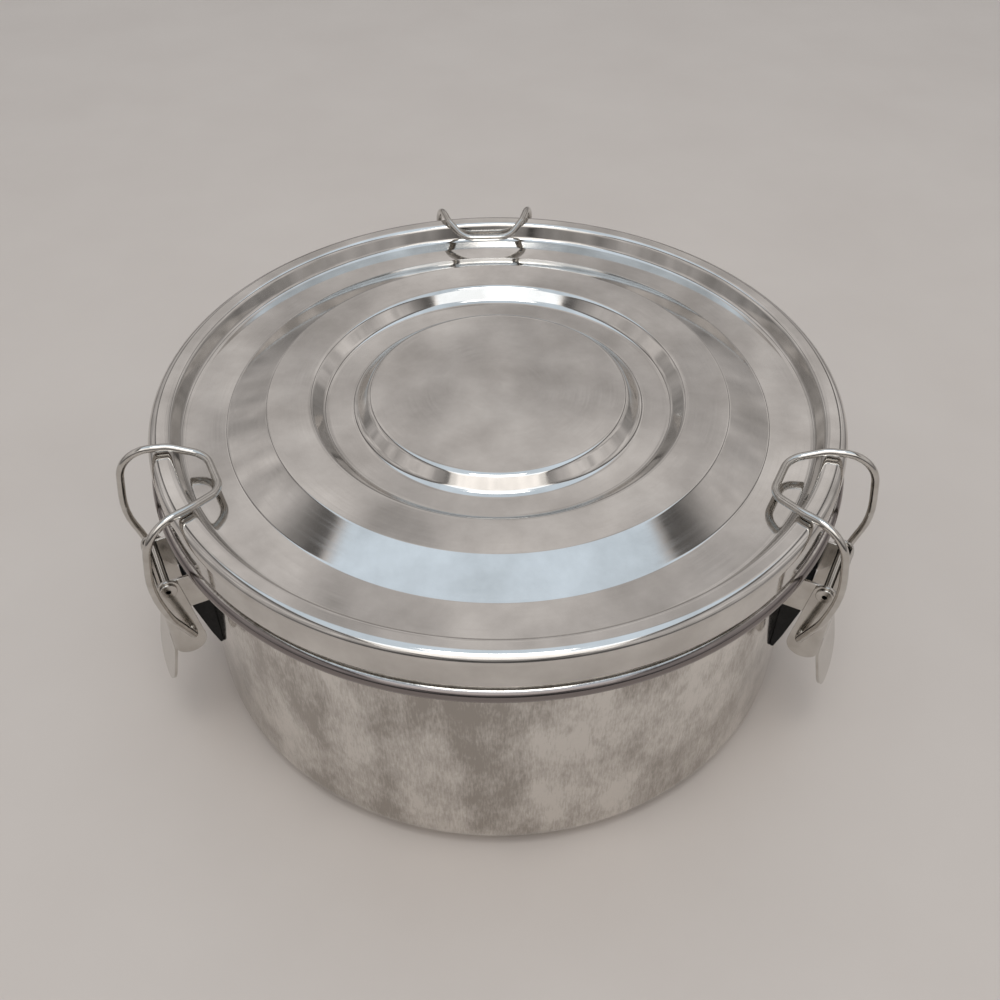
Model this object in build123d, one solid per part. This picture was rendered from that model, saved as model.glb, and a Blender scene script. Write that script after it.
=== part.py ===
# A round steel food container. Its lid lifts off, and three wire clips hold it shut.
# Each clip is a bracket, a rest pad, a rivet, a lever and a wire bail. Millimetres, +Z up, base centre at the origin.

from build123d import *
import os

# Overall sizes
wall_radius = 92.0
body_height = 80.8

# Container
body_gauge = 0.8
base_corner = 8.0
flange_bend = 1.2
flange_reach = 4.3
curl_radius = 2.1
curl_turn = 250.0

# Lid
lid_gauge = 0.7
skirt_gap = 1.2
rim_depth = 10.0
skirt_overhang = 0.7
rim_top_width = 6.1
recess_depth = 5.0
recess_slope = 2.2
ledge_width = 12.3
cone_width = 11.4
crown_rise = 4.2
crown_width = 12.2
groove_width = 16.2
groove_wall = 3.8
groove_depth = 3.7
lid_bends = [2.6, 1.6, 1.6, 1.4, 1.2, 1.8, 2.4, 3.0, 2.2]

# Seal
seal_clearance = 0.2
seal_width = 3.2
seal_round = 1.5

# Clips, seen from above: degrees counter-clockwise from +X
clip_places = {"back": 92.8, "left": 206.0, "right": 332.8}

# Bracket
clip_gauge = 0.8
ear_nose = 2.0
ear_foot = 5.8
bracket_drop = 9.5
hinge_reach = 9.9
hinge_drop = 16.0
ear_outer = 8.8

# Rest pad
pad_width = 17.0
pad_gap = 0.1
pad_top = 5.2
pad_knee = 2.2
pad_tip = 0.6
pad_knee_drop = 13.0
pad_drop = 18.5
pad_bends = [0.8, 2.0, 0.4]

# Lever
cheek_gap = 0.2
cheek_nose = 3.1
cheek_foot = 4.6
lever_length = 21.7
channel_corner = 1.3
tongue_width = 18.0
tongue_drop = 40.8
tongue_flare = 3.8
tongue_bend = 18.0
tongue_tip = 8.0

# Hinge rivet
rivet_radius = 1.2
rivet_bore = 0.7
rivet_head = 2.4
rivet_head_thick = 0.55
rivet_round = 0.25
running_fit = 0.05
seat_fit = 0.02

# Wire bail
wire_radius = 1.05
eye_inset = 3.1
eye_drop = 18.2
eye_depth = 0.8
hook_reach = 8.9
hook_sink = 0.5
hook_width = 14.8
shoulder_reach = 0.4
wire_seat = 0.3
shoulder_width = 25.2
bow_reach = 5.8
bow_rise = 1.7
bow_width = 32.2
side_reach = 4.2
side_rise = 8.5
side_width = 32.0
knee_reach = 1.7
knee_drop = 1.8
knee_width = 35.0
foot_width = 22.8
wire_bends = [6.5, 10.0, 9.5, 30.0, 12.0, 1.6]

# How far a cutting shape runs past what it cuts
over = 1.0

# Heights and radii that follow
flange_radius = wall_radius + flange_reach
skirt_radius = flange_radius + skirt_overhang
skirt_bottom = body_height + skirt_gap
lid_top = skirt_bottom + rim_depth
rim_inner = skirt_radius - rim_top_width
hinge_radius = wall_radius + hinge_reach
hinge_height = body_height - hinge_drop
eye_radius = hinge_radius - eye_inset
eye_height = hinge_height - eye_drop
web_radius = hinge_radius + cheek_nose
cheek_inner = ear_outer + cheek_gap
cheek_outer = cheek_inner + clip_gauge


def strip(points, bends, gauge):
    """The section of a bent sheet. The points give one surface, and the other lies to their left."""
    tops = [Vector(*point) for point in points]
    runs = [(b - a).normalized() for a, b in zip(tops, tops[1:])]
    sides = [Vector(-run.Y, run.X) for run in runs]
    turns = [a.X * b.Y - a.Y * b.X for a, b in zip(runs, runs[1:])]
    mitres = [(a + b) * (gauge / (1 + a.dot(b))) for a, b in zip(sides, sides[1:])]
    moves = [sides[0] * gauge, *mitres, sides[-1] * gauge]
    unders = [top + move for top, move in zip(tops, moves)]
    under_bends = [bend - gauge if turn > 0 else bend + gauge for bend, turn in zip(bends, turns)]
    edges = [
        *FilletPolyline(*tops, radius=bends).edges(),
        *FilletPolyline(*unders, radius=under_bends).edges(),
        Line(tops[0], unders[0]),
        Line(tops[-1], unders[-1]),
    ]
    return make_face(edges)


def turned(section):
    """A section in radius and height, spun about the container's axis."""
    return revolve(Plane.XZ * section, Axis.Z)


def plate(section, inner, outer):
    """A section in radius and height, as a plate between two distances from the clip's middle plane."""
    solid = extrude(Plane.XZ * section, (outer - inner) / 2, both=True)
    return Pos(0, (inner + outer) / 2, 0) * solid


def cross_pin(radius, reach):
    """A bar across the clip's middle plane, centred on the hinge."""
    return Pos(hinge_radius, 0, hinge_height) * Rot(90, 0, 0) * Cylinder(radius, 2 * reach)


def body():
    """The drawn container: one sheet from the middle of the base to the curled rim."""
    flange_under = body_height - body_gauge
    outline = [(0, 0), (wall_radius, 0), (wall_radius, flange_under), (flange_radius, flange_under)]
    shell = turned(strip(outline, [base_corner, flange_bend], body_gauge))
    middle = (flange_radius, body_height - curl_radius)
    outer = CenterArc(middle, curl_radius, 90, -curl_turn)
    inner = CenterArc(middle, curl_radius - body_gauge, 90, -curl_turn)
    curl = make_face([outer, inner, Line(outer @ 0, inner @ 0), Line(outer @ 1, inner @ 1)])
    return shell + turned(curl)


def lid():
    """The pressed lid, from the bottom of its skirt to the middle of its raised disc."""
    recess = lid_top - recess_depth
    crown = recess + crown_rise
    groove = crown - groove_depth
    ledge_out = rim_inner - recess_slope
    cone_out = ledge_out - ledge_width
    cone_in = cone_out - cone_width
    groove_out = cone_in - crown_width
    disc = groove_out - groove_width
    outline = [
        (skirt_radius, skirt_bottom),
        (skirt_radius, lid_top),
        (rim_inner, lid_top),
        (ledge_out, recess),
        (cone_out, recess),
        (cone_in, crown),
        (groove_out, crown),
        (groove_out - groove_wall, groove),
        (disc + groove_wall, groove),
        (disc, crown),
        (0, crown),
    ]
    return turned(strip(outline, lid_bends, lid_gauge))


def lid_gasket():
    """The sealing ring in the lid's hollow rim; its foot lies on the container's flange."""
    outer = skirt_radius - lid_gauge - seal_clearance
    inner = outer - seal_width
    top = lid_top - lid_gauge - seal_clearance
    ring = Pos((inner + outer) / 2, (body_height + top) / 2) * Rectangle(seal_width, top - body_height)
    upper = ring.vertices().group_by(Axis.Y)[-1]
    return turned(fillet(upper, seal_round))


def bracket():
    """Two ears and the base plate between them, which is welded to the wall."""
    nose = Pos(hinge_radius, hinge_height) * Circle(ear_nose)
    top = hinge_height + ear_nose
    low = hinge_height - bracket_drop
    root = Pos(wall_radius, (low + top) / 2) * Rectangle(2 * ear_foot, top - low)
    outline = make_hull([*nose.edges(), *root.edges()])
    ear_inner = ear_outer - clip_gauge
    ears = plate(outline, -ear_outer, -ear_inner) + plate(outline, ear_inner, ear_outer)
    wall = Pos(0, 0, body_height / 2) * Cylinder(wall_radius, body_height)
    skin = Pos(0, 0, body_height / 2) * Cylinder(wall_radius + clip_gauge, body_height)
    band = Pos(wall_radius, (low + top) / 2) * Rectangle(2 * ear_nose, top - low)
    base = plate(band, -ear_outer, ear_outer) & skin
    return ears + base - wall - cross_pin(rivet_radius + seat_fit, cheek_outer)


def rest_pad():
    """A rubber wedge on the wall, between the closed lever's cheeks and under the bracket."""
    top = hinge_height - bracket_drop - pad_gap
    corners = [
        (wall_radius - over, top),
        (wall_radius + pad_top, top),
        (wall_radius + pad_knee, top - pad_knee_drop),
        (wall_radius + pad_tip, top - pad_drop),
        (wall_radius - over, top - pad_drop),
    ]
    edges = [*FilletPolyline(*corners, radius=pad_bends).edges(), Line(corners[-1], corners[0])]
    wall = Pos(0, 0, body_height / 2) * Cylinder(wall_radius, body_height)
    return plate(make_face(edges), -pad_width / 2, pad_width / 2) - wall


def hinge_rivet():
    """A tubular rivet through the ears and the cheeks, with a head at each end."""
    head_inner = cheek_outer + running_fit
    head_outer = head_inner + rivet_head_thick
    heads = cross_pin(rivet_head, head_outer) - cross_pin(rivet_head + over, head_inner)
    circles = heads.edges().filter_by(GeomType.CIRCLE).group_by(Axis.Y)
    heads = fillet([*circles[0], *circles[-1]], rivet_round)
    return heads + cross_pin(rivet_radius, head_outer) - cross_pin(rivet_bore, head_outer + over)


def lever():
    """The channel that turns on the rivet, with holes for the wire and a thumb tongue below."""
    foot_radius = web_radius - cheek_foot
    foot_height = hinge_height - lever_length
    nose = Pos(hinge_radius, hinge_height) * Circle(cheek_nose)
    foot = Pos(foot_radius, foot_height) * Circle(cheek_foot)
    outline = make_hull([*nose.edges(), *foot.edges()])
    back = foot_radius - cheek_foot - over
    corners = [
        (back, -cheek_outer),
        (web_radius, -cheek_outer),
        (web_radius, cheek_outer),
        (back, cheek_outer),
    ]
    section = strip(corners, [channel_corner, channel_corner], clip_gauge)
    low = foot_height - cheek_foot
    high = hinge_height + cheek_nose
    channel = Pos(0, 0, low - over) * extrude(section, high - low + 2 * over)
    channel = channel & plate(outline, -cheek_outer - over, cheek_outer + over)
    tip = hinge_height - tongue_drop
    bend_height = foot_height - cheek_foot / 2
    tongue_top = foot_height + cheek_foot
    spine = [(web_radius + tongue_flare, tip), (web_radius, bend_height), (web_radius, tongue_top)]
    tongue = plate(strip(spine, [tongue_bend], clip_gauge), -tongue_width / 2, tongue_width / 2)
    mask = Pos(0, (tip + tongue_top) / 2) * Rectangle(tongue_width, tongue_top - tip)
    mask = fillet(mask.vertices().group_by(Axis.Y)[0], tongue_tip)
    tongue = tongue & Pos(web_radius - cheek_foot, 0, 0) * extrude(Plane.YZ * mask, 3 * cheek_foot)
    holes = cross_pin(rivet_radius + running_fit, cheek_outer + over)
    eye_hole = Cylinder(wire_radius + running_fit, 2 * (cheek_outer + over))
    return channel + tongue - holes - Pos(eye_radius, 0, eye_height) * Rot(90, 0, 0) * eye_hole


def bail():
    """One bent wire: its ends sit in the cheeks, and its crossbar hooks down inside the lid's rim."""
    corners = [
        (rim_inner - hook_reach, hook_width / 2, lid_top - hook_sink),
        (rim_inner - shoulder_reach, shoulder_width / 2, lid_top + wire_radius + wire_seat),
        (skirt_radius + bow_reach, bow_width / 2, lid_top + bow_rise),
        (hinge_radius + side_reach, side_width / 2, hinge_height + side_rise),
        (hinge_radius + knee_reach, knee_width / 2, hinge_height - knee_drop),
        (eye_radius, foot_width / 2, eye_height),
        (eye_radius, cheek_inner - eye_depth, eye_height),
    ]
    far_side = [(radius, -across, height) for radius, across, height in reversed(corners)]
    path = FilletPolyline(*far_side, *corners, radius=[*reversed(wire_bends), *wire_bends])
    start = Plane(origin=path @ 0, z_dir=path % 0)
    return sweep(start * Circle(wire_radius), path=path)


os.makedirs("parts", exist_ok=True)
for name, make in {"body": body, "lid": lid, "lid_gasket": lid_gasket}.items():
    export_step(make(), f"parts/{name}.step")
makers = {"bracket": bracket, "rest_pad": rest_pad, "hinge_rivet": hinge_rivet, "lever": lever, "bail": bail}
for name, make in makers.items():
    piece = make()
    for place, angle in clip_places.items():
        export_step(Rot(0, 0, angle) * piece, f"parts/{place}_{name}.step")
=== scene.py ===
# %% [markdown]
# # A polished steel food container
#
# The container is a deep drawn steel pot with a pressed lid. Three wire clips hold the lid down.
# Nearly everything here is a bent sheet or a bent wire. So the lesson is about two shapes: a
# profile that is spun about an axis, and a round section that follows a path. Geometry Nodes
# make both.
#
# The CAD frame comes first. It says where each piece goes and which body it moves with.

# %% Load the frame
from math import cos, pi, radians, sin, tan

import bmesh
import bpy
from mathutils import Matrix, Vector


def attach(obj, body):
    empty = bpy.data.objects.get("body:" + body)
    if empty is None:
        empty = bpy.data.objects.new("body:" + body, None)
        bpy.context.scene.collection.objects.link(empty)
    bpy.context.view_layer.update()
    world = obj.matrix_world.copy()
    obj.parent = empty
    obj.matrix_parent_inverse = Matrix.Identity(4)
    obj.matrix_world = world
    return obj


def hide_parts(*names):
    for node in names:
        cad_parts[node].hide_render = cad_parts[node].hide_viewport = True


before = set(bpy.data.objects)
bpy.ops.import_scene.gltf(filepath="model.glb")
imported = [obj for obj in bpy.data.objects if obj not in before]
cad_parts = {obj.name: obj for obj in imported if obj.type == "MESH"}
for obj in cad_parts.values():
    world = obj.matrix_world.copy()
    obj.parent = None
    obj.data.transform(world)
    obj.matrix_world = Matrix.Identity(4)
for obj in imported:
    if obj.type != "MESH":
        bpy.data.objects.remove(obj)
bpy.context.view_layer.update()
mm = 0.001

# %% [markdown]
# ## Sizes
#
# The sizes are the real ones, in millimetres turned to metres. Only those that several pieces share
# stand here, and a size that one piece needs comes with that piece. The rest follow from them, so a
# wider pot takes its lid and its clips along.

# %% The pot's and the lid's sizes
wall_radius = 92.0 * mm
body_height = 80.8 * mm
body_gauge = 0.8 * mm
flange_reach = 4.3 * mm

skirt_overhang = 0.7 * mm
skirt_gap = 1.2 * mm
rim_depth = 10.0 * mm
rim_top_width = 6.1 * mm
skirt_radius = wall_radius + flange_reach + skirt_overhang
skirt_bottom = body_height + skirt_gap
lid_top = skirt_bottom + rim_depth
rim_inner = skirt_radius - rim_top_width
print(f"lid {2 * skirt_radius / mm:.0f} mm across, lid top at {lid_top / mm:.1f} mm")

# %% The clips' places
clip_angles = {"back": radians(92.8), "left": radians(206.0), "right": radians(332.8)}
hinge_reach = 9.9 * mm
hinge_drop = 16.0 * mm
hinge_radius = wall_radius + hinge_reach
hinge_height = body_height - hinge_drop
print(f"{len(clip_angles)} clips, hinged {hinge_height / mm:.1f} mm above the floor")

# %% [markdown]
# ## Bent profiles
#
# A pressed sheet has flat runs and round bends, and so has a bent wire. The helper below walks a
# list of corners and puts an arc of the asked radius at each one.
#
# Smooth shading spreads a bend's slope over the face next to it, and on a mirror finish that shows
# at once. So a guard point stands just past each arc's ends and just inside each cut edge. It keeps
# the spread to a quarter of a millimetre.

# %% Corners to a bent line
guard = 0.25 * mm
sheet_turn_step = radians(9)


def bent_line(corners, radii, turn_step=sheet_turn_step):
    """Points along straight runs joined by tangent arcs. Works in two or three dimensions."""
    corners = [Vector((*corner, 0.0)[:3]) for corner in corners]
    line = [corners[0], corners[0].lerp(corners[1], guard / (corners[1] - corners[0]).length)]
    for before, corner, after, radius in zip(corners, corners[1:], corners[2:], radii):
        way_in, way_out = (corner - before).normalized(), (after - corner).normalized()
        turn = way_in.angle(way_out)
        start = corner - way_in * (radius * tan(turn / 2))
        across = (way_out - way_in * way_out.dot(way_in)).normalized()
        steps = max(2, round(turn / turn_step))
        turns = [turn * k / steps for k in range(steps + 1)]
        arc = [start + way_in * (radius * sin(t)) + across * (radius * (1 - cos(t))) for t in turns]
        line += [start - way_in * guard, *arc, arc[-1] + way_out * guard]
    last, end = corners[-2], corners[-1]
    return line + [end.lerp(last, guard / (end - last).length), end]


square_corner = bent_line([(0, 0), (20 * mm, 0), (20 * mm, 20 * mm)], [5 * mm])
print("one square corner takes", len(square_corner), "points")

# %% [markdown]
# A sheet has two faces, and a bend that is tight on one face is wide on the other. Moving every
# corner along its mitre by the sheet's thickness, and adding the thickness to a bend's radius or
# taking it off, keeps the sheet equally thick all round. A Solidify modifier would thin it in the
# bends.

# %% Two faces of a sheet
def sheet_profile(corners, radii, gauge):
    """The given face of a bent sheet and the face on its other side, as two lines."""
    points = [Vector(corner) for corner in corners]
    runs = [(b - a).normalized() for a, b in zip(points, points[1:])]
    sides = [Vector((-run.y, run.x)) for run in runs]
    mitres = [(a + b) * (gauge / (1 + a.dot(b))) for a, b in zip(sides, sides[1:])]
    moves = [sides[0] * gauge, *mitres, sides[-1] * gauge]
    turns = [a.x * b.y - a.y * b.x for a, b in zip(runs, runs[1:])]
    far_radii = [r - gauge if turn > 0 else r + gauge for r, turn in zip(radii, turns)]
    near = bent_line(corners, radii)
    far = bent_line([point + move for point, move in zip(points, moves)], far_radii)
    return near, far


near, far = sheet_profile([(0, 0), (20 * mm, 0), (20 * mm, 20 * mm)], [5 * mm], 1 * mm)
print(f"the faces of a 1 mm sheet end {(far[-1] - near[-1]).length / mm:.1f} mm apart")

# %% [markdown]
# ## A lathe made of nodes
#
# The Screw modifier could spin the profile. A small node tree is better here, because the pot and
# the lid then share one recipe, and the number of segments is a named input. The tree sweeps the
# profile round a very small circle, which is the same thing as spinning it about the circle's axis.
# Points that meet on the axis are merged, so that the middle of each sheet is closed.

# %% A tree with named inputs
def new_tree(name, sizes):
    """A node tree with named sizes. Gives the tree, its two ends and the inputs' identifiers."""
    tree = bpy.data.node_groups.new(name, "GeometryNodeTree")
    tree.interface.new_socket("Geometry", in_out="INPUT", socket_type="NodeSocketGeometry")
    ids = {}
    for label, kind in sizes.items():
        socket = tree.interface.new_socket(label, in_out="INPUT", socket_type=f"NodeSocket{kind}")
        ids[label] = socket.identifier
    tree.interface.new_socket("Geometry", in_out="OUTPUT", socket_type="NodeSocketGeometry")
    return tree, tree.nodes.new("NodeGroupInput"), tree.nodes.new("NodeGroupOutput"), ids


def chain(tree, *nodes):
    """Joins the first output of each node to the first input of the next."""
    for a, b in zip(nodes, nodes[1:]):
        tree.links.new(a.outputs[0], b.inputs[0])


# %% The lathe tree
hub = 1.0 * mm
meeting_distance = 0.001 * mm
lathe_segments = 288


def lathe_tree():
    """Spins a profile about a hub of the given radius."""
    inputs = {"Segments": "Int", "Hub": "Float", "Material": "Material"}
    tree, start, end, ids = new_tree("lathe", inputs)
    circle = tree.nodes.new("GeometryNodeCurvePrimitiveCircle")
    sweep = tree.nodes.new("GeometryNodeCurveToMesh")
    merge = tree.nodes.new("GeometryNodeMergeByDistance")
    merge.inputs["Distance"].default_value = meeting_distance
    smooth = tree.nodes.new("GeometryNodeSetShadeSmooth")
    realize = tree.nodes.new("GeometryNodeRealizeInstances")
    paint = tree.nodes.new("GeometryNodeSetMaterial")
    tree.links.new(start.outputs["Segments"], circle.inputs["Resolution"])
    tree.links.new(start.outputs["Hub"], circle.inputs["Radius"])
    tree.links.new(circle.outputs["Curve"], sweep.inputs["Curve"])
    tree.links.new(start.outputs["Geometry"], sweep.inputs["Profile Curve"])
    chain(tree, sweep, merge, smooth, realize, paint, end)
    tree.links.new(start.outputs["Material"], paint.inputs["Material"])
    return tree, ids


lathe, lathe_ids = lathe_tree()
print("lathe inputs:", ", ".join(lathe_ids))

# %% [markdown]
# ## From a node tree to a plain mesh
#
# The finished part has to be plain meshes, each one riding on a CAD body. These helpers put a line
# into a curve object, run a tree on it, keep the result as a mesh and drop the modifier. A closed
# shell whose volume comes out negative is inside out, so its faces are flipped.

# %% A line as a curve object
def poly_curve(name, points):
    """A curve object with one open, straight-sided spline through the points."""
    data = bpy.data.curves.new(name, "CURVE")
    data.dimensions = "3D"
    spline = data.splines.new("POLY")
    spline.points.add(len(points) - 1)
    for slot, point in zip(spline.points, points):
        slot.co = (*point, 1.0)
    curve = bpy.data.objects.new(name, data)
    bpy.context.scene.collection.objects.link(curve)
    return curve


# %% A plain mesh
def plain_mesh(source, name):
    """The source as its modifiers leave it, as a plain mesh object that faces outwards."""
    bpy.context.view_layer.update()
    shown = source.evaluated_get(bpy.context.evaluated_depsgraph_get())
    mesh = bpy.data.meshes.new_from_object(shown)
    mesh.name = name
    bpy.data.objects.remove(source)
    shape = bmesh.new()
    shape.from_mesh(mesh)
    if shape.calc_volume(signed=True) < 0:
        bmesh.ops.reverse_faces(shape, faces=shape.faces)
    shape.to_mesh(mesh)
    open_edges = sum(not edge.is_manifold for edge in shape.edges)
    shape.free()
    piece = bpy.data.objects.new(name, mesh)
    bpy.context.scene.collection.objects.link(piece)
    print(f"{name}: {len(mesh.polygons)} faces, {open_edges} open edges")
    return piece


def run_tree(source, tree, ids, name, **sizes):
    """The plain mesh that the tree makes from the source. The source is removed."""
    modifier = source.modifiers.new("nodes", "NODES")
    modifier.node_group = tree
    for label, value in sizes.items():
        modifier[ids[label.capitalize()]] = value
    return plain_mesh(source, name)


def spun(name, profile, material):
    """A profile in radius and height, spun about the container's axis."""
    points = [(point.x - hub, -point.y, 0.0) for point in profile]
    sizes = {"segments": lathe_segments, "hub": hub, "material": material}
    return run_tree(poly_curve(name, points), lathe, lathe_ids, name, **sizes)


# %% [markdown]
# A piece is then placed: it rides on the body that it moves with, and the CAD nodes that it stands
# for are hidden.

# %% Placing a piece
def place(piece, body, slot, *nodes):
    """Lets a finished piece ride on its CAD body, in place of the nodes that it stands for."""
    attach(piece, body)
    if nodes:
        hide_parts(*nodes)


# %% [markdown]
# ## Steel
#
# All the steel is the same metal, and differs in how it was worked. The lid was polished on a
# spindle, so its scratches run in rings. The pot was drawn downwards, which leaves faint upright
# lines. The clips were tumbled, and the wire was pulled through a die, so its lines run along it.
#
# Painted image textures could show this, but node patterns stay sharp close up and need no unwrapped
# surface. One helper makes the metal, and each finish passes its own pattern coordinates. The ring
# and line patterns use the cosine and sine of the angle, not the angle itself, so they have no seam.

# %% Node helpers for materials
def new_material(name):
    """An empty node material. Gives the material, its tree and its shader."""
    material = bpy.data.materials.new(name)
    material.use_nodes = True
    tree = material.node_tree
    tree.nodes.clear()
    shader = tree.nodes.new("ShaderNodeBsdfPrincipled")
    output = tree.nodes.new("ShaderNodeOutputMaterial")
    tree.links.new(shader.outputs["BSDF"], output.inputs["Surface"])
    return material, tree, shader


def feed(tree, socket, value):
    """Gives a socket a number, or another node's output."""
    if isinstance(value, (int, float)):
        socket.default_value = value
    else:
        tree.links.new(value, socket)


def math_node(tree, operation, *values):
    """A Math node, whose values are numbers or outputs."""
    node = tree.nodes.new("ShaderNodeMath")
    node.operation = operation
    for socket, value in zip(node.inputs, values):
        feed(tree, socket, value)
    return node.outputs["Value"]


def vector_node(tree, *values):
    """A vector from three numbers or outputs."""
    node = tree.nodes.new("ShaderNodeCombineXYZ")
    for socket, value in zip(node.inputs, values):
        feed(tree, socket, value)
    return node.outputs["Vector"]


# %% Patterns and blends
def noise_node(tree, vector, scale, detail=3.0, roughness=0.55):
    """A cloudy pattern between 0 and 1, most of it between 0.3 and 0.7."""
    node = tree.nodes.new("ShaderNodeTexNoise")
    node.inputs["Scale"].default_value = scale
    node.inputs["Detail"].default_value = detail
    node.inputs["Roughness"].default_value = roughness
    tree.links.new(vector, node.inputs["Vector"])
    return node.outputs["Fac"]


def range_node(tree, value, low, high, start=0.3, stop=0.7):
    """Maps the span from start to stop, by default a noise's usual one, to that from low to high."""
    node = tree.nodes.new("ShaderNodeMapRange")
    node.inputs["From Min"].default_value = start
    node.inputs["From Max"].default_value = stop
    node.inputs["To Min"].default_value = low
    node.inputs["To Max"].default_value = high
    tree.links.new(value, node.inputs["Value"])
    return node.outputs["Result"]


def blend_node(tree, factor, first, second):
    """A colour between the first and the second. Each is a colour or an output."""
    node = tree.nodes.new("ShaderNodeMix")
    node.data_type = "RGBA"
    tree.links.new(factor, node.inputs["Factor"])
    for label, colour in (("A", first), ("B", second)):
        if isinstance(colour, tuple):
            node.inputs[label].default_value = (*colour, 1)
        else:
            tree.links.new(colour, node.inputs[label])
    return node.outputs["Result"]


def bump_node(tree, shader, pattern, strength, depth):
    """Lets a pattern raise the shader's surface by up to the depth."""
    node = tree.nodes.new("ShaderNodeBump")
    node.inputs["Strength"].default_value = strength
    node.inputs["Distance"].default_value = depth
    tree.links.new(pattern, node.inputs["Height"])
    tree.links.new(node.outputs["Normal"], shader.inputs["Normal"])


# %% Where a point lies
def object_place(tree):
    """The place on the piece, in metres."""
    return tree.nodes.new("ShaderNodeTexCoord").outputs["Object"]


def round_place(tree, place_output):
    """For a spun piece: the cosine and sine of the angle, the radius and the height."""
    split = tree.nodes.new("ShaderNodeSeparateXYZ")
    tree.links.new(place_output, split.inputs["Vector"])
    x, y, height = (split.outputs[axis] for axis in "XYZ")
    squares = [math_node(tree, "MULTIPLY", side, side) for side in (x, y)]
    reach = math_node(tree, "SQRT", math_node(tree, "ADD", *squares))
    radius = math_node(tree, "MAXIMUM", reach, 1 * mm)
    cosine = math_node(tree, "DIVIDE", x, radius)
    sine = math_node(tree, "DIVIDE", y, radius)
    return cosine, sine, radius, height


# %% The metal itself
def finish_steel(tree, shader, tones, tone, gloss, lines, rough, strength, depth, span=(0.3, 0.7)):
    """Colour from the tone pattern, roughness from the gloss pattern, bump from the lines."""
    colour = blend_node(tree, range_node(tree, tone, 0.0, 1.0, *span), *tones)
    tree.links.new(colour, shader.inputs["Base Color"])
    tree.links.new(range_node(tree, gloss, *rough), shader.inputs["Roughness"])
    shader.inputs["Metallic"].default_value = 1.0
    bump_node(tree, shader, lines, strength, depth)
    return colour


# %% [markdown]
# ### Spun steel, for the lid
#
# Polishing on a spindle leaves fine rings, and they draw each highlight out across themselves. The
# rings come from a noise that is stretched round the axis. The drawing out is the shader's own
# anisotropy, turned by a radial tangent, because real scratches are far finer than a pixel.

# %% Spun steel
lid_tones = ((0.54, 0.52, 0.495), (0.74, 0.72, 0.695))
rings_per_metre = 1500
ring_climb = 0.7
lid_bloom = 55


def spun_steel():
    """Polished on a spindle: fine rings and a cloudy bloom."""
    material, tree, shader = new_material("spun_steel")
    where = object_place(tree)
    cosine, sine, radius, height = round_place(tree, where)
    reach = math_node(tree, "ADD", radius, math_node(tree, "MULTIPLY", height, ring_climb))
    rings = vector_node(tree, cosine, sine, math_node(tree, "MULTIPLY", reach, rings_per_metre))
    fine = noise_node(tree, rings, 1.0, detail=4.0, roughness=0.7)
    bloom = noise_node(tree, where, lid_bloom, detail=5.0)
    finish_steel(
        tree, shader, lid_tones, bloom, fine, fine, rough=(0.04, 0.11), strength=0.12, depth=0.004 * mm
    )
    shader.inputs["Anisotropic"].default_value = 0.55
    tangent = tree.nodes.new("ShaderNodeTangent")
    tangent.direction_type = "RADIAL"
    tangent.axis = "Z"
    tree.links.new(tangent.outputs["Tangent"], shader.inputs["Tangent"])
    return material


spun_finish = spun_steel()
print(spun_finish.name, "has", len(spun_finish.node_tree.nodes), "nodes")

# %% [markdown]
# ### Drawn steel, for the pot
#
# The wall was drawn down between a punch and a die, and buffed afterwards. That leaves close upright
# lines and cloudy patches, where it mirrors more or less of the floor. The curl's outer face is
# darkened as painted shade, for the dark that it mirrors below the lid's skirt. A second material
# could do that. A blend by radius keeps the pot one piece of metal.

# %% Drawn steel
wall_tones = ((0.40, 0.375, 0.345), (0.76, 0.735, 0.70))
# Painted shade: the darker colour given to the curl's outer face.
curl_painted_shade = (0.25, 0.225, 0.22)
line_count, line_stretch = 190, 330
patch_count, patch_stretch = 5.5, 34
patch_share, line_share = 0.72, 0.28
lines_fade = (92.5 * mm, 94 * mm)
curl_shade_starts = (97.0 * mm, 97.35 * mm)


def drawn_steel():
    """Drawn and buffed: close upright lines and cloudy patches, with painted shade on the curl."""
    material, tree, shader = new_material("drawn_steel")
    cosine, sine, radius, height = round_place(tree, object_place(tree))

    def upright(count, stretch):
        scaled = [(cosine, count), (sine, count), (height, stretch)]
        return vector_node(tree, *(math_node(tree, "MULTIPLY", *pair) for pair in scaled))

    fine = noise_node(tree, upright(line_count, line_stretch), 1.0, detail=4.0, roughness=0.65)
    patches = noise_node(tree, upright(patch_count, patch_stretch), 1.0, detail=7.0, roughness=0.66)
    shares = [(patches, patch_share), (fine, line_share)]
    clouds = math_node(tree, "ADD", *(math_node(tree, "MULTIPLY", *pair) for pair in shares))
    lines = math_node(tree, "MULTIPLY", fine, range_node(tree, radius, 1.0, 0.0, *lines_fade))
    tone = finish_steel(
        tree, shader, wall_tones, clouds, fine, lines,
        rough=(0.05, 0.16), strength=0.3, depth=0.007 * mm, span=(0.41, 0.58),
    )
    # Painted shade: the curl's outer face is darkened by radius.
    curl_shade_mask = range_node(tree, radius, 0.0, 1.0, *curl_shade_starts)
    tree.links.new(blend_node(tree, curl_shade_mask, tone, curl_painted_shade), shader.inputs["Base Color"])
    return material


drawn_finish = drawn_steel()
print(drawn_finish.name, "has", len(drawn_finish.node_tree.nodes), "nodes")

# %% [markdown]
# ### Pressed steel, for the clips
#
# The levers and brackets are stamped out and tumbled in a drum of stones. That takes every direction
# out of the surface and leaves small specks, so plain noise on the piece's own place is enough.

# %% Pressed steel
clip_tones = ((0.50, 0.48, 0.45), (0.64, 0.62, 0.59))
speck_scale, worn_scale = 1800, 160


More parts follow.
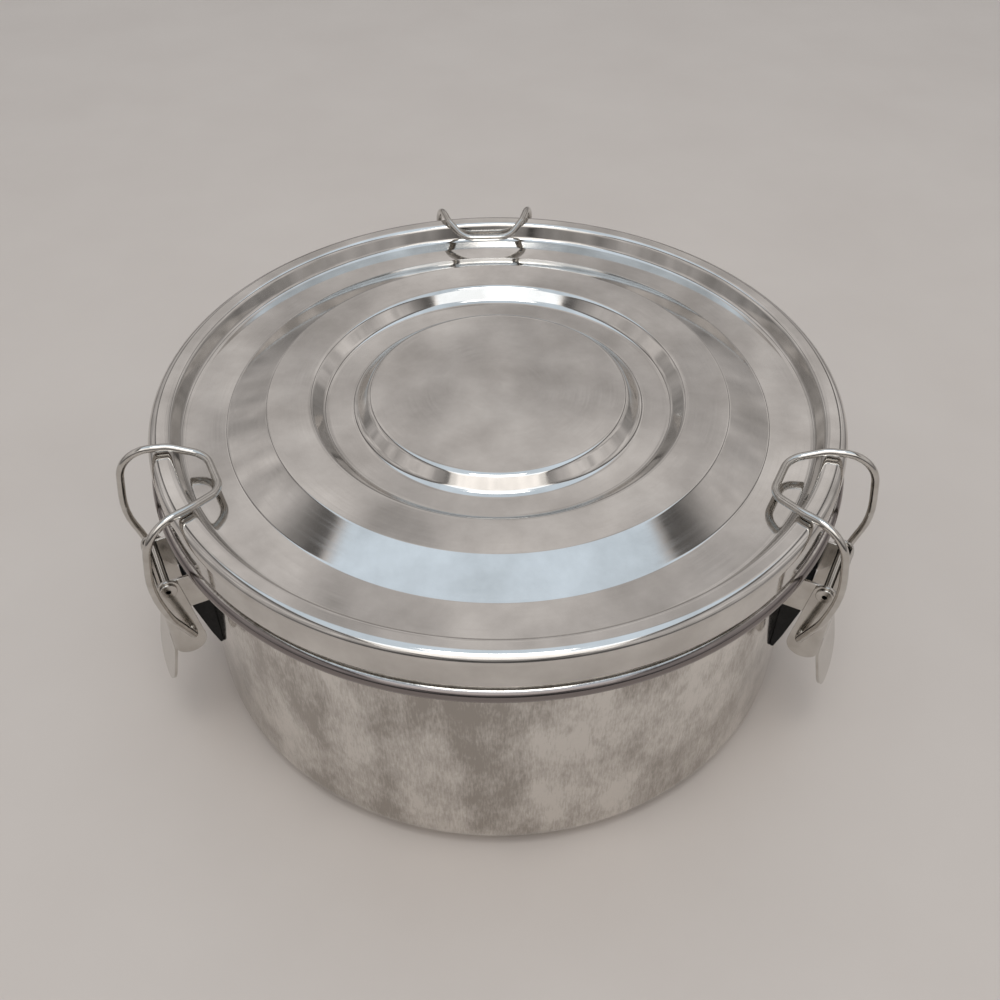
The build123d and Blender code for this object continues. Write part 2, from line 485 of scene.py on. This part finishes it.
def pressed_steel():
    """Stamped and tumbled: no direction, small dull specks and worn brighter patches."""
    material, tree, shader = new_material("pressed_steel")
    where = object_place(tree)
    specks = noise_node(tree, where, speck_scale, detail=3.0)
    worn = noise_node(tree, where, worn_scale, detail=4.0)
    finish_steel(
        tree, shader, clip_tones, worn, worn, specks, rough=(0.10, 0.22), strength=0.12, depth=0.01 * mm
    )
    return material


pressed_finish = pressed_steel()
print(pressed_finish.name, "has", len(pressed_finish.node_tree.nodes), "nodes")

# %% [markdown]
# ### Drawn wire
#
# Wire is pulled through a die, so its lines follow every bend. Object coordinates can't do that. The
# wire's node tree, further down, stores how far along and how far around each point lies, and this
# finish reads the two back as attributes.

# %% Drawn wire
wire_lines = 6
line_drift = 90
wire_bloom = 250


def bright_wire():
    """Pulled through a die: faint lines along the wire."""
    material, tree, shader = new_material("bright_wire")
    along, around = tree.nodes.new("ShaderNodeAttribute"), tree.nodes.new("ShaderNodeAttribute")
    along.attribute_name = "along"
    around.attribute_name = "around"
    distance = along.outputs["Fac"]
    turn = math_node(tree, "MULTIPLY", around.outputs["Fac"], 2 * pi)
    lines = vector_node(
        tree,
        math_node(tree, "MULTIPLY", math_node(tree, "COSINE", turn), wire_lines),
        math_node(tree, "MULTIPLY", math_node(tree, "SINE", turn), wire_lines),
        math_node(tree, "MULTIPLY", distance, line_drift),
    )
    fine = noise_node(tree, lines, 1.0, detail=3.0)
    bloom = noise_node(tree, vector_node(tree, 0, 0, distance), wire_bloom)
    finish_steel(
        tree, shader, clip_tones, bloom, fine, fine, rough=(0.04, 0.12), strength=0.15, depth=0.01 * mm
    )
    return material


wire_finish = bright_wire()
print(wire_finish.name, "has", len(wire_finish.node_tree.nodes), "nodes")

# %% [markdown]
# ## The seal and the pads
#
# The seal inside the lid is white silicone, soft enough for a little light to enter it, which is
# what Subsurface is for. The pads behind the levers are near-black pieces that fill the gap there
# as painted shade. Both are dull, so it is their roughness that matters, and a little dust or
# powder breaks their colour up.

# %% Silicone, for the seal
powder_scale = 900
silicone_tones = ((0.78, 0.78, 0.75), (0.86, 0.86, 0.84))
light_depth = 1 * mm


def silicone():
    """A soft translucent white rubber with a powdery surface."""
    material, tree, shader = new_material("silicone")
    powder = noise_node(tree, object_place(tree), powder_scale, detail=4.0)
    tree.links.new(blend_node(tree, powder, *silicone_tones), shader.inputs["Base Color"])
    tree.links.new(range_node(tree, powder, 0.42, 0.58), shader.inputs["Roughness"])
    shader.inputs["Subsurface Weight"].default_value = 0.15
    shader.inputs["Subsurface Radius"].default_value = (light_depth, light_depth, light_depth)
    return material


seal_finish = silicone()
print(seal_finish.name, "has", len(seal_finish.node_tree.nodes), "nodes")

# %% Painted gap shade, for the rest pads
grain_scale, dust_scale = 1500, 130
# Near-black colours: painted shade for the gap behind each lever.
gap_shade_tones = ((0.007, 0.007, 0.008), (0.020, 0.019, 0.018))


def painted_gap_shade():
    """A dull near black, painted shade for the gap behind each lever, with a fine grain and dust."""
    material, tree, shader = new_material("painted_gap_shade")
    where = object_place(tree)
    grain = noise_node(tree, where, grain_scale, detail=3.0)
    dust = range_node(tree, noise_node(tree, where, dust_scale, detail=4.0), 0.0, 1.0)
    tree.links.new(blend_node(tree, dust, *gap_shade_tones), shader.inputs["Base Color"])
    tree.links.new(range_node(tree, grain, 0.65, 0.80), shader.inputs["Roughness"])
    shader.inputs["Specular IOR Level"].default_value = 0.3
    bump_node(tree, shader, grain, strength=0.3, depth=0.02 * mm)
    return material


gap_shade_finish = painted_gap_shade()
print(gap_shade_finish.name, "has", len(gap_shade_finish.node_tree.nodes), "nodes")

# %% [markdown]
# ## The pot
#
# One blank of sheet is drawn into a pot. Its rim is bent out into a flange and curled under, so that
# no cut edge is left to touch. A cube that is rounded and hollowed would never give an even sheet,
# so the pot is a profile for the lathe. It runs from the middle of the base, up the outside, round
# the curl and back down the inside.

# %% The curl
curl_radius = 2.1 * mm
curl_turn = radians(250)
curl_steps = 36
curl_middle = Vector((wall_radius + flange_reach, body_height - curl_radius, 0.0))


def curl_arc(radius):
    """One face of the curled edge, from the top of the flange's end round and under it."""
    turns = [pi / 2 - curl_turn * k / curl_steps for k in range(curl_steps + 1)]
    return [curl_middle + Vector((cos(turn), sin(turn), 0.0)) * radius for turn in turns]


curl_across = 2 * (curl_middle.x + curl_radius)
print(f"{curl_across / mm:.1f} mm across the curl")

# %% The pot's profile
base_corner = 8.0 * mm
flange_bend = 1.2 * mm
flange_under = body_height - body_gauge
pot_corners = [
    (0.0, 0.0),
    (wall_radius, 0.0),
    (wall_radius, flange_under),
    (wall_radius + flange_reach, flange_under),
]
outside, inside = sheet_profile(pot_corners, [base_corner, flange_bend], body_gauge)
under_curl, over_curl = curl_arc(curl_radius - body_gauge), curl_arc(curl_radius)
pot_profile = [*outside[:-1], *under_curl, *reversed(over_curl), *inside[-2::-1]]
pot = spun("pot_shell", pot_profile, drawn_finish)
place(pot, "container", "body_steel", "body")

# %% [markdown]
# ## The lid
#
# The lid is pressed in steps, which make thin sheet stiff. From the outside in: a skirt that hangs
# over the pot's rim, a flat rim, a sunk ledge where the wires hook in, a cone up to the crown, a
# round groove, and a disc. It is a second profile for the same lathe.

# %% The lid's steps
recess_depth, recess_slope = 5.0 * mm, 2.2 * mm
ledge_width = 12.3 * mm
cone_width, crown_rise = 11.4 * mm, 4.2 * mm
crown_width = 12.2 * mm
groove_width, groove_wall, groove_depth = 16.2 * mm, 3.8 * mm, 3.7 * mm

recess = lid_top - recess_depth
crown = recess + crown_rise
groove = crown - groove_depth
ledge_out = rim_inner - recess_slope
cone_out = ledge_out - ledge_width
cone_in = cone_out - cone_width
groove_out = cone_in - crown_width
disc = groove_out - groove_width
print(f"the middle disc is {2 * disc / mm:.0f} mm across")

# %% The lid's profile
lid_gauge = 0.7 * mm
lid_corners = [
    (skirt_radius, skirt_bottom),
    (skirt_radius, lid_top),
    (rim_inner, lid_top),
    (ledge_out, recess),
    (cone_out, recess),
    (cone_in, crown),
    (groove_out, crown),
    (groove_out - groove_wall, groove),
    (disc + groove_wall, groove),
    (disc, crown),
    (0.0, crown),
]
lid_bends = [bend * mm for bend in (2.6, 1.6, 1.6, 1.4, 1.2, 1.8, 2.4, 3.0, 2.2)]
outside, inside = sheet_profile(lid_corners, lid_bends, lid_gauge)
lid = spun("lid_shell", [*outside[::-1], *inside], spun_finish)
place(lid, "lid", "lid_steel", "lid")

# %% [markdown]
# ## The wires
#
# Each clip has one sprung wire. A curve with a bevel depth would give the same round section. A
# small tree is used, because it can also store how far along and how far around each point lies,
# which the wire's finish reads.

# %% The wire tree
def wire_tree():
    """Sweeps a round section along a path and stores the distance along and the turn around."""
    inputs = {"Radius": "Float", "Sides": "Int", "Material": "Material"}
    tree, start, end, ids = new_tree("wire", inputs)
    section = tree.nodes.new("GeometryNodeCurvePrimitiveCircle")
    sweep = tree.nodes.new("GeometryNodeCurveToMesh")
    sweep.inputs["Fill Caps"].default_value = True
    smooth = tree.nodes.new("GeometryNodeSetShadeSmooth")
    realize = tree.nodes.new("GeometryNodeRealizeInstances")
    paint = tree.nodes.new("GeometryNodeSetMaterial")
    measure = tree.nodes.new("GeometryNodeSplineParameter")
    stores = {}
    for name, source in (("along", "Length"), ("around", "Factor")):
        store = tree.nodes.new("GeometryNodeStoreNamedAttribute")
        store.inputs["Name"].default_value = name
        tree.links.new(measure.outputs[source], store.inputs["Value"])
        stores[name] = store
    tree.links.new(start.outputs["Geometry"], stores["along"].inputs["Geometry"])
    tree.links.new(stores["along"].outputs["Geometry"], sweep.inputs["Curve"])
    tree.links.new(start.outputs["Sides"], section.inputs["Resolution"])
    tree.links.new(start.outputs["Radius"], section.inputs["Radius"])
    tree.links.new(section.outputs["Curve"], stores["around"].inputs["Geometry"])
    tree.links.new(stores["around"].outputs["Geometry"], sweep.inputs["Profile Curve"])
    chain(tree, sweep, smooth, realize, paint, end)
    tree.links.new(start.outputs["Material"], paint.inputs["Material"])
    return tree, ids


wire, wire_ids = wire_tree()
print("wire inputs:", ", ".join(wire_ids))

# %% [markdown]
# The wire is drawn once, on the plane that cuts a clip in half, and then turned to its place round
# the wall. From the middle out it hooks over the lid's rim, climbs to a shoulder, bows out past the
# skirt, runs down each side of the lever and turns in at the knees to its two eyes. Each corner is a
# distance from the axis, half the wire's width there, and a height.

# %% The wires' corners
wire_radius = 1.05 * mm
hook_reach, hook_sink, hook_width = 8.9 * mm, 0.5 * mm, 14.8 * mm
shoulder_reach, wire_seat, shoulder_width = 0.4 * mm, 0.3 * mm, 25.2 * mm
bow_reach, bow_rise, bow_width = 5.8 * mm, 1.7 * mm, 32.2 * mm
side_reach, side_rise, side_width = 4.2 * mm, 8.5 * mm, 32.0 * mm
knee_reach, knee_drop, knee_width = 1.7 * mm, 1.8 * mm, 35.0 * mm
foot_width, end_width = 22.8 * mm, 16.4 * mm
eye_inset, eye_drop = 3.1 * mm, 18.2 * mm
eye_radius = hinge_radius - eye_inset
eye_height = hinge_height - eye_drop

wire_corners = [
    (rim_inner - hook_reach, hook_width / 2, lid_top - hook_sink),
    (rim_inner - shoulder_reach, shoulder_width / 2, lid_top + wire_radius + wire_seat),
    (skirt_radius + bow_reach, bow_width / 2, lid_top + bow_rise),
    (hinge_radius + side_reach, side_width / 2, hinge_height + side_rise),
    (hinge_radius + knee_reach, knee_width / 2, hinge_height - knee_drop),
    (eye_radius, foot_width / 2, eye_height),
    (eye_radius, end_width / 2, eye_height),
]
wire_bends = [bend * mm for bend in (6.5, 10.0, 9.5, 30.0, 12.0, 1.6)]
wire_turn_step = radians(6)
far_side = [(x, -y, z) for x, y, z in reversed(wire_corners)]
both_bends = [*reversed(wire_bends), *wire_bends]
wire_line = bent_line([*far_side, *wire_corners], both_bends, turn_step=wire_turn_step)
print("each wire bends through", len(both_bends), "corners")

# %% Three wires
wire_sizes = {"radius": wire_radius, "sides": 24, "material": wire_finish}
for where, angle in clip_angles.items():
    turned = [Matrix.Rotation(angle, 3, "Z") @ point for point in wire_line]
    name = f"{where}_wire"
    bent = run_tree(poly_curve(name, turned), wire, wire_ids, name, **wire_sizes)
    place(bent, f"{where}_bail", "wire_steel", f"{where}_bail")

# %% [markdown]
# ## Levers, brackets and pads
#
# These have their true shape in the frame, but CAD edges are perfectly sharp and catch no light. A
# copy of each gets its loose triangles merged, its flat faces joined, and a fine bevel along the
# edges, as tumbling leaves on steel, and a softer one on the dark pads. Weighted normals keep the
# flat faces flat.

# %% Eased copies
same_point = 0.0005 * mm
same_plane = radians(0.4)
sharp_from = radians(40)


def joined_faces(node):
    """The mesh of a CAD node, with its triangles merged into flat faces."""
    shape = bmesh.new()
    shape.from_mesh(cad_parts[node].data)
    bmesh.ops.remove_doubles(shape, verts=shape.verts, dist=same_point)
    bmesh.ops.dissolve_limit(shape, angle_limit=same_plane, verts=shape.verts, edges=shape.edges)
    for face in shape.faces:
        face.smooth = True
    mesh = bpy.data.meshes.new(node)
    shape.to_mesh(mesh)
    shape.free()
    return mesh


def eased(node, name, width, material):
    """A copy of a CAD node with a small bevel along its sharp edges."""
    mesh = joined_faces(node)
    mesh.materials.clear()
    mesh.materials.append(material)
    source = bpy.data.objects.new(name, mesh)
    bpy.context.scene.collection.objects.link(source)
    bevel = source.modifiers.new("ease", "BEVEL")
    bevel.width = width
    bevel.segments = 2
    bevel.limit_method = "ANGLE"
    bevel.angle_limit = sharp_from
    weigh = source.modifiers.new("weigh", "WEIGHTED_NORMAL")
    weigh.keep_sharp = False
    return plain_mesh(source, name)


# %% Three of each
tumbled_edge = 0.12 * mm
pad_edge = 0.25 * mm
for where in clip_angles:
    lever = eased(f"{where}_lever", f"{where}_clip_lever", tumbled_edge, pressed_finish)
    place(lever, f"{where}_lever", "clip_steel", f"{where}_lever")
    bracket = eased(f"{where}_bracket", f"{where}_clip_bracket", tumbled_edge, pressed_finish)
    place(bracket, "container", "clip_steel", f"{where}_bracket")
    # The pad is near black: painted shade for the gap behind the lever.
    pad = eased(f"{where}_rest_pad", f"{where}_gap_shade_pad", pad_edge, gap_shade_finish)
    place(pad, "container", "pad_rubber", f"{where}_rest_pad")

# %% [markdown]
# ## Pieces that keep their CAD shape
#
# The rivets and the seal are already smooth in the frame. They only need their finish.

# %% Finishes on CAD nodes
def paint_node(name, material):
    """Gives a CAD node's slots a finish, and leaves its mesh alone."""
    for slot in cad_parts[name].material_slots:
        slot.material = material
    print(name, "gets", material.name)


for where in clip_angles:
    paint_node(f"{where}_hinge_rivet", pressed_finish)
paint_node("lid_gasket", seal_finish)

# %% [markdown]
# ## The floor
#
# The floor is a plain pale plane with a barely visible mottling. It does more than hold the shadow:
# the wall of the pot mirrors it, so the steel takes on its warmth.

# %% The floor
floor_tones = ((0.58, 0.52, 0.475), (0.65, 0.592, 0.544))
floor_half = 3.0
floor_mottling = 14


def pale_floor():
    """A matt pale surface."""
    material, tree, shader = new_material("pale_floor")
    blotch = noise_node(tree, object_place(tree), floor_mottling, detail=5.0)
    tree.links.new(blend_node(tree, blotch, *floor_tones), shader.inputs["Base Color"])
    shader.inputs["Roughness"].default_value = 0.75
    return material


sides = [(-1, -1), (1, -1), (1, 1), (-1, 1)]
floor_corners = [(x * floor_half, y * floor_half, 0) for x, y in sides]
floor_mesh = bpy.data.meshes.new("floor")
floor_mesh.from_pydata(floor_corners, [], [(0, 1, 2, 3)])
floor_mesh.materials.append(pale_floor())
floor = bpy.data.objects.new("floor", floor_mesh)
bpy.context.scene.collection.objects.link(floor)
print(f"floor {2 * floor_half:.0f} m across")

# %% [markdown]
# ## The room
#
# Polished steel shows the room more than itself, so the room is half of the finish. A real studio
# would hang a cool panel of light overhead and dark flags beside it, which give the metal its black
# edges. The world's nodes draw the same by direction: the panel and the flags are spans of x and y
# over height, and the mottled walls darken in front and towards the floor. Modelled walls would do
# as well, but would stand in the way of a moved camera. The camera itself sees one plain tone there,
# which Light Path chooses.

# %% The room's values
panel_colour = (0.80, 0.92, 1.04)
panel_half_width = (0.53, 0.57)
panel_half_reach = (0.60, 0.72)
flag_inner = (0.57, 0.60)
flag_outer = (0.66, 0.92)
flag_depth = 0.80
front_span, front_depth = (0.30, 0.80), 0.65
skirting_span, skirting_depth = (0.10, 0.45), 0.55
wall_span, wall_levels = (0.38, 0.60), (0.42, 0.78)
wall_green, wall_blue = 0.955, 0.93
wall_mottling = 7
plain_backdrop = (0.50, 0.465, 0.43)
print("panel and wall levels:", panel_colour[1], wall_levels)


# %% Shading by direction
def rise(tree, value, span):
    """0 before the span, 1 after it."""
    return range_node(tree, value, 0.0, 1.0, *span)


def fall(tree, value, span):
    """1 before the span, 0 after it."""
    return range_node(tree, value, 1.0, 0.0, *span)


def darkened(tree, mask, depth):
    """A light level that drops by the depth where the mask is 1."""
    return math_node(tree, "SUBTRACT", 1.0, math_node(tree, "MULTIPLY", mask, depth))


def wall_tone(tree, direction):
    """Mottled walls, a little warm."""
    mottling = noise_node(tree, direction, wall_mottling, detail=7.0, roughness=0.62)
    wall = range_node(tree, mottling, *wall_levels, *wall_span)
    green = math_node(tree, "MULTIPLY", wall, wall_green)
    blue = math_node(tree, "MULTIPLY", wall, wall_blue)
    return vector_node(tree, wall, green, blue)


# %% The room's light
def room_light(tree):
    """The background that the object sees and mirrors."""
    direction = tree.nodes.new("ShaderNodeTexCoord").outputs["Generated"]
    split = tree.nodes.new("ShaderNodeSeparateXYZ")
    tree.links.new(direction, split.inputs["Vector"])
    x, y, z = (split.outputs[axis] for axis in "XYZ")
    up = math_node(tree, "MAXIMUM", z, 0.02)
    side = math_node(tree, "DIVIDE", math_node(tree, "ABSOLUTE", x), up)
    ahead = math_node(tree, "ABSOLUTE", math_node(tree, "DIVIDE", y, up))
    panel_sides = fall(tree, side, panel_half_width)
    panel = math_node(tree, "MULTIPLY", panel_sides, fall(tree, ahead, panel_half_reach))
    flag = math_node(tree, "MULTIPLY", rise(tree, side, flag_inner), fall(tree, side, flag_outer))
    low_front = math_node(tree, "SUBTRACT", math_node(tree, "MULTIPLY", y, -1), z)
    flag_shade = darkened(tree, flag, flag_depth)
    front_shade = darkened(tree, rise(tree, low_front, front_span), front_depth)
    skirting_shade = darkened(tree, fall(tree, z, skirting_span), skirting_depth)
    shade = math_node(tree, "MULTIPLY", flag_shade, front_shade)
    room = tree.nodes.new("ShaderNodeBackground")
    colour = blend_node(tree, panel, wall_tone(tree, direction), panel_colour)
    tree.links.new(colour, room.inputs["Color"])
    tree.links.new(math_node(tree, "MULTIPLY", shade, skirting_shade), room.inputs["Strength"])
    return room


# %% The world
world = bpy.data.worlds.new("studio")
bpy.context.scene.world = world
world.use_nodes = True
world_tree = world.node_tree
world_tree.nodes.clear()
room = room_light(world_tree)
plain = world_tree.nodes.new("ShaderNodeBackground")
plain.inputs["Color"].default_value = (*plain_backdrop, 1)
light_path = world_tree.nodes.new("ShaderNodeLightPath")
choice = world_tree.nodes.new("ShaderNodeMixShader")
output = world_tree.nodes.new("ShaderNodeOutputWorld")
world_tree.links.new(light_path.outputs["Is Camera Ray"], choice.inputs["Fac"])
world_tree.links.new(room.outputs["Background"], choice.inputs[1])
world_tree.links.new(plain.outputs["Background"], choice.inputs[2])
world_tree.links.new(choice.outputs["Shader"], output.inputs["Surface"])
print(world.name, "has", len(world_tree.nodes), "nodes")

# %% [markdown]
# ## The lamps
#
# Two soft boxes do what the panel can't. The small key lamp over the front puts sharp glints on the
# wires and on the groove. The large fill lamp stands further forward and opens up the front of the
# wall. It leaves no hot spot, because its light is spread over more than a square metre.

# %% The lamps
def softbox(name, spot, aim, size, power, colour):
    """A rectangular lamp at a spot, turned towards its aim."""
    data = bpy.data.lights.new(name, "AREA")
    data.shape = "RECTANGLE"
    data.size, data.size_y = size
    data.energy = power
    data.color = colour
    lamp = bpy.data.objects.new(name, data)
    lamp.location = spot
    lamp.rotation_euler = (Vector(aim) - Vector(spot)).to_track_quat("-Z", "Y").to_euler()
    bpy.context.scene.collection.objects.link(lamp)
    print(f"{name} lamp: {power} W over {size[0]} by {size[1]} m")


softbox("key", (0.0, -0.25, 1.05), (0, 0, 0.09), (0.42, 0.26), 1.8, (1.0, 0.985, 0.96))
softbox("fill", (0.0, -1.0, 1.25), (0, 0, 0.05), (1.7, 0.95), 4.6, (1.0, 0.97, 0.93))

# %% [markdown]
# ## The camera
#
# The photograph was taken from close by, looking about 44 degrees down, which is why the lid's far
# side looks so much smaller than its near side. A longer lens from further off would flatten that.
# The Standard view transform keeps each colour about as it is written.

# %% The camera
camera_spot = (0.55 * mm, -236.9 * mm, 275.0 * mm)
camera_tilt = radians(46.06)
camera_data = bpy.data.cameras.new("camera")
camera_data.lens = 37.8
camera_data.sensor_width = 36.0
camera = bpy.data.objects.new("camera", camera_data)
camera.location = camera_spot
camera.rotation_euler = (camera_tilt, 0, 0)
bpy.context.scene.collection.objects.link(camera)
bpy.context.scene.camera = camera
bpy.context.scene.view_settings.view_transform = "Standard"
print(f"camera {camera_spot[2] / mm:.0f} mm up, {camera_data.lens:.1f} mm lens")
